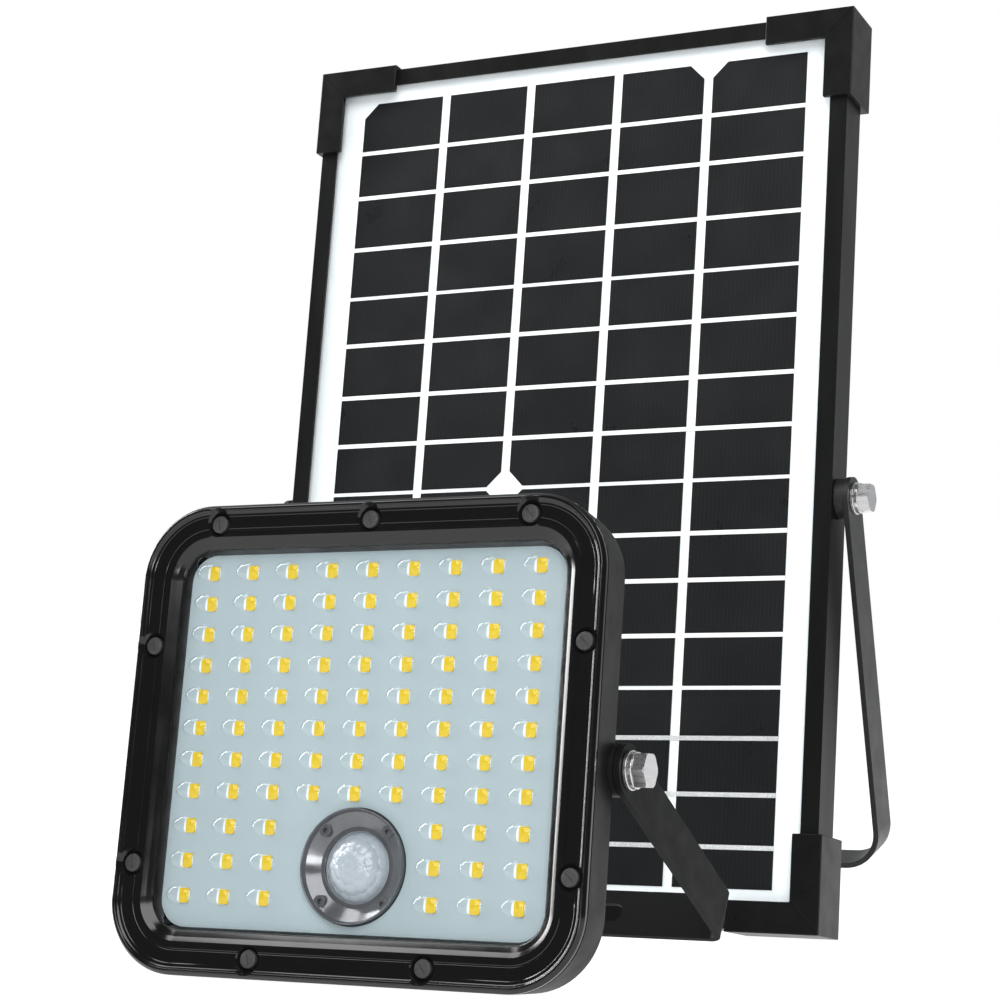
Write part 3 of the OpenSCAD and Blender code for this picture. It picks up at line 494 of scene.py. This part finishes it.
def lamp_outline(rho, z):
    """The lamp's rounded outline, rho outside its corner centres."""
    return rounded_corners(CORNER_X, CORNER_Y, rho, CORNER_STEPS, 0, 0, z)


def front_bezel():
    bm = bmesh.new()
    loft(bm, [lamp_outline(rho, z) for rho, z in BEZEL_SECTION], ring=True)
    ring = mesh_from(bm, "front_bezel_ring")
    pockets = bmesh.new()
    for x, y in screw_places:
        lathe(pockets, POCKET_SECTION, POCKET_TURNS, x, y)
    ring = combined(ring, mesh_from(pockets, "pockets"))
    rounding = {"width": BEZEL_ROUNDING, "segments": SOFT_SEGMENTS, "limit_method": "ANGLE",
                "angle_limit": math.radians(BEZEL_ANGLE)}
    ring = applied(ring, ("BEVEL", rounding), ("WEIGHTED_NORMAL", {"keep_sharp": True}))
    ring.transform(LAMP)
    add_piece("front_bezel_detail", ring, "bezel_black", "lamp_head",
              ["front_bezel"])


def bezel_screws():
    """Low round heads with a shallow slot, on plain shanks."""
    bm = bmesh.new()
    for x, y in screw_places:
        lathe(bm, SCREW_SECTION, SCREW_TURNS, x, y)
    heads = mesh_from(bm, "screw_heads")
    slots = bmesh.new()
    for x, y in screw_places:
        bar(slots, SLOT_SIZE, SLOT_TURN * (1 + x / SLOT_TURN_LENGTH), (x, y, SLOT_Z))
    heads = combined(heads, mesh_from(slots, "screw_slots"))
    heads.transform(LAMP @ Matrix.Translation((0, 0, POCKET_Z)))
    smooth(heads, SCREW_SHARP)
    add_piece("bezel_screws_detail", heads, "dark_screw", "lamp_head",
              ["bezel_screws"])


# ---------------------------------------------------------------------------------------
# Lens plate, with a low oval bump over each chip

LED_PITCH_X = 14.5
LED_PITCH_UPPER, LED_PITCH_LOWER = 9.95, 10.85
LED_TOP = 52.9
LED_ROWS_UPPER, LED_ROWS_LOWER = 8, 3
LED_SIDE = 4                        # columns on each side of the middle one
LED_GAP = 1                         # how many of those the sensor takes, in the lower rows
LENS_BACK, LENS_FRONT, LENS_RHO = -5.8, -4.2, 16
LENS_SHARP = 40
PIR_X, PIR_Y = 1.5, -38.7           # the motion sensor's middle
PIR_HOLE_R, PIR_HOLE_TURNS = 17.65, 96
PIR_HOLE_BACK, PIR_HOLE_FRONT = -9, 1
BUMP_X, BUMP_Y, BUMP_RISE, BUMP_FOOT = 5.2, 3.35, 2.6, -0.3
BUMP_RINGS, BUMP_TURNS = 10, 36
BUMP_POWER = 0.52                   # 0.5 is half an ellipsoid, 1 a paraboloid


def led_places():
    """Chip places: full rows above, then rows that leave room for the sensor."""
    places = []
    for row in range(LED_ROWS_UPPER + LED_ROWS_LOWER):
        above = min(row, LED_ROWS_UPPER - 1)
        below = max(row - LED_ROWS_UPPER + 1, 0)
        y = LED_TOP - above * LED_PITCH_UPPER - below * LED_PITCH_LOWER
        for col in range(-LED_SIDE, LED_SIDE + 1):
            if below == 0 or abs(col) > LED_GAP:
                places.append((col * LED_PITCH_X, y))
    return places


def lens_bump(bm, x, y):
    """A low oval bump, its foot sunk a little into the plate."""
    loops = [(1.0, BUMP_FOOT)]
    for ring in range(BUMP_RINGS):
        d = math.cos(0.5 * math.pi * ring / BUMP_RINGS)
        loops.append((d, BUMP_RISE * (1 - d * d) ** BUMP_POWER))
    rows = loft(bm, [[(x + d * BUMP_X * math.cos(t), y + d * BUMP_Y * math.sin(t),
                       LENS_FRONT + h) for t in turns(BUMP_TURNS)] for d, h in loops])
    bm.faces.new(rows[0][::-1])
    top = bm.verts.new((x, y, LENS_FRONT + BUMP_RISE))
    for i in range(BUMP_TURNS):
        bm.faces.new((rows[-1][i], rows[-1][(i + 1) % BUMP_TURNS], top))


def lens_window():
    shape = bmesh.new()
    solid_loft(shape, [lamp_outline(LENS_RHO, LENS_BACK), lamp_outline(LENS_RHO, LENS_FRONT)])
    plate = mesh_from(shape, "lens_shape")
    hole = bmesh.new()
    lathe(hole, [(PIR_HOLE_R, PIR_HOLE_BACK), (PIR_HOLE_R, PIR_HOLE_FRONT)], PIR_HOLE_TURNS,
          PIR_X, PIR_Y)
    plate = combined(plate, mesh_from(hole, "lens_hole"))
    bumps = bmesh.new()
    for x, y in led_places():
        lens_bump(bumps, x, y)
    plate = combined(plate, mesh_from(bumps, "lens_bumps"), "UNION")
    plate.transform(LAMP)
    smooth(plate, LENS_SHARP)
    add_piece("lens_plate_detail", plate, "clear_lens", "lamp_head",
              ["lens_plate"])


# ---------------------------------------------------------------------------------------
# Light chips: white packages with a yellow phosphor window, in place of the plain chips

BOARD_Z = -6.7
SLAB_CHAMFER, SLAB_STEPS, SLAB_SHARP = 0.12, 5, 30
# Each is its width, height, corner radius, shift along x, foot and top.
PACKAGE_SLAB = (4.4, 4.8, 1.6, -0.43, 0.0, 0.5)
WINDOW_SLAB = (3.4, 4.6, 0.6, 0.0, 0.3, 0.7)


def rounded_slab(bm, x, y, wide, tall, radius, shift, low, high):
    """A slab on the board, with rounded corners and a small chamfer round its top."""
    solid_loft(bm, [
        rounded_corners(wide / 2 - radius, tall / 2 - radius, radius - inset, SLAB_STEPS,
                        x + shift, y, BOARD_Z + z)
        for inset, z in ((0, low), (0, high - SLAB_CHAMFER), (SLAB_CHAMFER, high))])


def led_packages():
    for name, slab, look, slot, replaced in (
            ("led_packages_detail", PACKAGE_SLAB, "package_white", "board_white", ()),
            ("led_chips_detail", WINDOW_SLAB, "chip_yellow", "chip_yellow", ["led_chips"])):
        bm = bmesh.new()
        for x, y in led_places():
            rounded_slab(bm, x, y, *slab)
        mesh = mesh_from(bm, name, LAMP, SLAB_SHARP)
        add_piece(name, mesh, look, "lamp_head", replaced)


# ---------------------------------------------------------------------------------------
# Motion sensor's dome: a shell of small lens facets, each with fine rings

DOME_R, DOME_RISE, DOME_SEAT = 10.8, 7.0, -9.6
DOME_BALL = (DOME_R ** 2 + DOME_RISE ** 2) / (2 * DOME_RISE)    # the cap's ball radius
DOME_REACH = math.asin(DOME_R / DOME_BALL)
DOME_RINGS, DOME_TURNS, DOME_SHARP = 66, 180, 60
DOME_FOOT_IN, DOME_FOOT_OUT, DOME_FOOT_DEEP = 9.2, 12.3, 0.8
FACET_RINGS = ((1, 6), (2, 12), (3, 18))    # ring, and how many facets are in it
FACET_SPACING = 3.4                         # rings from the axis to the dome's edge
FACET_BOW, GROOVE_DEPTH, GROOVE_RATE = 0.05, 0.07, 9.0


def direction(lean, turn):
    """Unit vector that leans away from the dome's axis, at a turn about it."""
    return Vector((math.sin(lean) * math.cos(turn), math.sin(lean) * math.sin(turn),
                   math.cos(lean)))


def facet_centres():
    """Directions of the facets: one on the axis, then the rings, every other one turned."""
    centres = [Vector((0, 0, 1))]
    for ring, count in FACET_RINGS:
        lean = DOME_REACH * ring / FACET_SPACING
        for i in range(count):
            centres.append(direction(lean, 2 * math.pi * (i + 0.5 * (ring % 2)) / count))
    return centres


def pir_dome():
    centres = facet_centres()
    middle = Vector((PIR_X, PIR_Y, DOME_SEAT + DOME_RISE - DOME_BALL))
    loops = [circle(r, DOME_TURNS, PIR_X, PIR_Y, z) for r, z in
             ((DOME_FOOT_IN, DOME_SEAT - DOME_FOOT_DEEP),
              (DOME_FOOT_OUT, DOME_SEAT - DOME_FOOT_DEEP),
              (DOME_FOOT_OUT, DOME_SEAT), (DOME_R, DOME_SEAT))]
    for ring in range(DOME_RINGS, 0, -1):
        patterned = ring < DOME_RINGS - 1       # the two rings at the edge stay plain
        loop = []
        for turn in turns(DOME_TURNS):
            way = direction(DOME_REACH * ring / DOME_RINGS, turn)
            radius = DOME_BALL
            if patterned:
                gap = min((way - centre).length for centre in centres) * DOME_BALL
                groove = 0.5 + 0.5 * math.cos(gap * GROOVE_RATE)
                radius -= FACET_BOW * gap * gap + GROOVE_DEPTH * groove
            loop.append(way * radius + middle)
        loops.append(loop)
    bm = bmesh.new()
    solid_loft(bm, loops)
    mesh = mesh_from(bm, "pir_dome_shell", LAMP, DOME_SHARP)
    add_piece("pir_dome_detail", mesh, "dome_white", "lamp_head", ["pir_dome"])


front_bezel()
bezel_screws()
lens_window()
led_packages()
pir_dome()


# ---------------------------------------------------------------------------------------
# Studio: a pale floor, soft lights, and the camera. The room is white behind the product
# and dark before it, with a few bright softboxes.

FLOOR_REACH = 30.0
FRONT_GLOW, BACK_GLOW = 0.05, 0.52      # the room's brightness before and behind
GLOW_START, GLOW_END = -0.15, 0.45      # where, from front to back, one turns into the other
ROOM_TINT = (0.97, 0.985, 1.0, 1)
LAMP_FRONT = (0.03, -0.11, 0.08)
LIGHTS = (      # name, place, target, size in metres, watts
    ("key", (0.8, -1.8, 1.7), (0, 0, 0.15), (1.8, 1.8), 50),
    ("front_box", (0.83, -1.6, 0.18), LAMP_FRONT, (0.5, 0.28), 5),
    ("left_box", (-1.5, -0.05, 0.75), LAMP_FRONT, (0.6, 1.5), 46),
    ("top_left_box", (-0.75, -0.5, 1.4), LAMP_FRONT, (0.5, 0.5), 4.7),
    ("back_left_box", (-1.5, 0.65, 0.3), LAMP_FRONT, (0.6, 0.6), 9),
)
CAMERA_LENS, CAMERA_SENSOR = 88.78, 36  # millimetres
CAMERA_FAR = 100                        # metres
CAMERA_PLACE = (0.404, -0.7757, 0.0856)
CAMERA_LEAN, CAMERA_TURN = math.radians(94.644), math.radians(26.3)


def pale_floor():
    mesh = bpy.data.meshes.new("floor")
    corners = [(-FLOOR_REACH, -FLOOR_REACH, 0), (FLOOR_REACH, -FLOOR_REACH, 0),
               (FLOOR_REACH, FLOOR_REACH, 0), (-FLOOR_REACH, FLOOR_REACH, 0)]
    mesh.from_pydata(corners, [], [(0, 1, 2, 3)])
    floor = bpy.data.objects.new("floor", mesh)
    scene.collection.objects.link(floor)
    looks["floor"] = finish("floor", (0.25, 0.25, 0.25), 0.7, gloss=0.0, mottle=0.01,
                            mottle_scale=2, grain=0.0)
    surface = looks["floor"].node_tree.nodes["Principled BSDF"]
    surface.inputs["Emission Color"].default_value = (1, 1, 1, 1)
    surface.inputs["Emission Strength"].default_value = 1.0
    paint(floor, "floor")


def soft_light(name, place, target, size, power):
    data = bpy.data.lights.new(name, "AREA")
    data.shape = "RECTANGLE"
    data.size, data.size_y = size
    data.energy = power
    light = bpy.data.objects.new(name, data)
    scene.collection.objects.link(light)
    light.location = place
    way = Vector(target) - Vector(place)
    light.rotation_euler = way.to_track_quat("-Z", "Y").to_euler()


def room():
    """Lights the product from the room's two halves, and shows the camera plain white."""
    world = bpy.data.worlds.new("studio")
    scene.world = world
    world.use_nodes = True
    nodes, links = world.node_tree.nodes, world.node_tree.links
    place = nodes.new("ShaderNodeTexCoord")
    split = nodes.new("ShaderNodeSeparateXYZ")
    depth = nodes.new("ShaderNodeMapRange")
    depth.interpolation_type = "SMOOTHSTEP"
    depth.inputs["From Min"].default_value = GLOW_START
    depth.inputs["From Max"].default_value = GLOW_END
    depth.inputs["To Min"].default_value = FRONT_GLOW
    depth.inputs["To Max"].default_value = BACK_GLOW
    links.new(place.outputs["Generated"], split.inputs["Vector"])
    links.new(split.outputs["Y"], depth.inputs["Value"])
    glow = nodes["Background"]
    glow.inputs["Color"].default_value = ROOM_TINT
    links.new(depth.outputs["Result"], glow.inputs["Strength"])
    backdrop = nodes.new("ShaderNodeBackground")
    backdrop.inputs["Color"].default_value = (1, 1, 1, 1)
    path = nodes.new("ShaderNodeLightPath")
    mix = nodes.new("ShaderNodeMixShader")
    links.new(path.outputs["Is Camera Ray"], mix.inputs["Fac"])
    links.new(glow.outputs["Background"], mix.inputs[1])
    links.new(backdrop.outputs["Background"], mix.inputs[2])
    links.new(mix.outputs["Shader"], nodes["World Output"].inputs["Surface"])


def camera():
    data = bpy.data.cameras.new("camera")
    data.lens = CAMERA_LENS
    data.sensor_width = CAMERA_SENSOR
    data.clip_end = CAMERA_FAR
    view = bpy.data.objects.new("camera", data)
    view.location = CAMERA_PLACE
    view.rotation_euler = (CAMERA_LEAN, 0, CAMERA_TURN)
    scene.collection.objects.link(view)
    scene.camera = view


pale_floor()
for light_settings in LIGHTS:
    soft_light(*light_settings)
room()
camera()
scene.view_settings.view_transform = "Standard"
